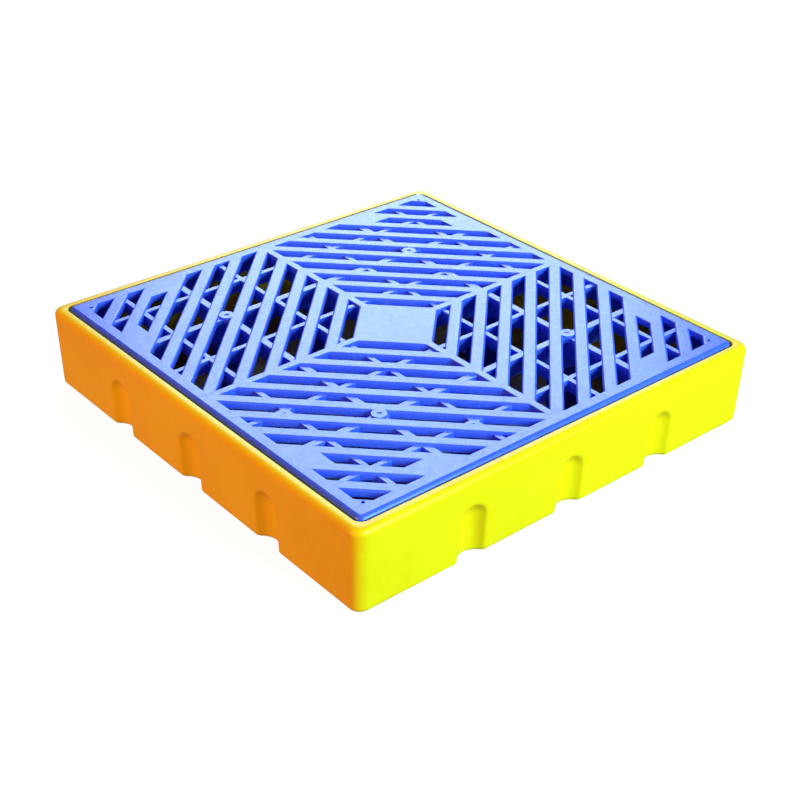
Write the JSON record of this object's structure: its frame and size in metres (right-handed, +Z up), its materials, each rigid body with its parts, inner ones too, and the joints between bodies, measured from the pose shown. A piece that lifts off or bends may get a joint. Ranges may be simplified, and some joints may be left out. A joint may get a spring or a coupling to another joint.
{
  "type": "spill containment pallet",
  "caption": "Low square spill pallet: fluted sump tray with a lift-off slatted deck grate, carried inside by upright posts.",
  "frame": {"origin": "middle of the underside of the sump tray", "axes": "+Z up out of the deck, X and Y along the sides of the square tray"},
  "size_m": [0.9, 0.9, 0.159],
  "materials": {
    "tray_plastic": "satin moulded polyethylene",
    "grate_plastic": "satin moulded polyethylene",
    "post_plastic": "matt moulded polyethylene"
  },
  "bodies": {
    "tray": {"sump_tray": "tray_plastic", "post_center": "post_plastic", "post_front": "post_plastic", "post_back": "post_plastic", "post_left": "post_plastic", "post_right": "post_plastic", "post_front_left": "post_plastic", "post_front_right": "post_plastic", "post_back_left": "post_plastic", "post_back_right": "post_plastic"},
    "grate": {"deck_grate": "grate_plastic"}
  },
  "joints": [
    {"name": "grate_lift", "type": "slide", "parent": "tray", "child": "grate", "axis": [0, 0, 1], "range_m": [0, 0.25]}
  ]
}
